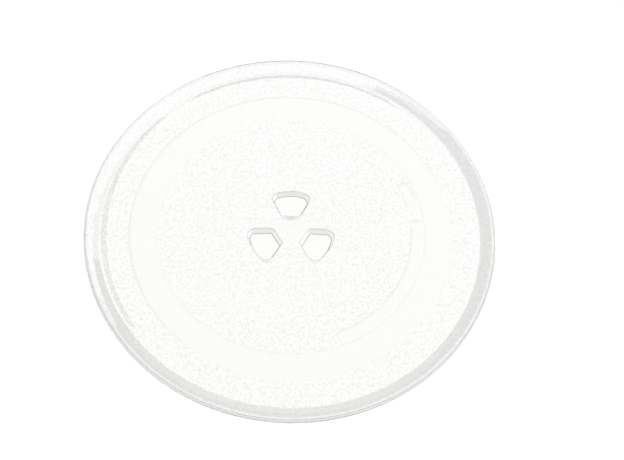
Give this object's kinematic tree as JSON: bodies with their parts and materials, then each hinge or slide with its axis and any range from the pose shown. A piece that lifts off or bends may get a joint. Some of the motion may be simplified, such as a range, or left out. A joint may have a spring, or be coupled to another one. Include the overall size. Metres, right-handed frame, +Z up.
{
  "type": "microwave turntable plate",
  "caption": "Round clear pressed-glass turntable plate with a shallow rim, a smooth roller track under it and keystone drive lugs at its centre.",
  "frame": {"origin": "on the plate's axis, in the plane of the drive lugs' ends", "axes": "+Z up along the plate's axis, out of the dish side; +Y from the axis towards the lug at the back of the picture"},
  "size_m": [0.245, 0.245, 0.0154],
  "materials": {
    "clear_glass": "clear pressed glass, polished above and pebbled below"
  },
  "bodies": {
    "root": {"turntable_plate": "clear_glass"}
  },
  "joints": []
}
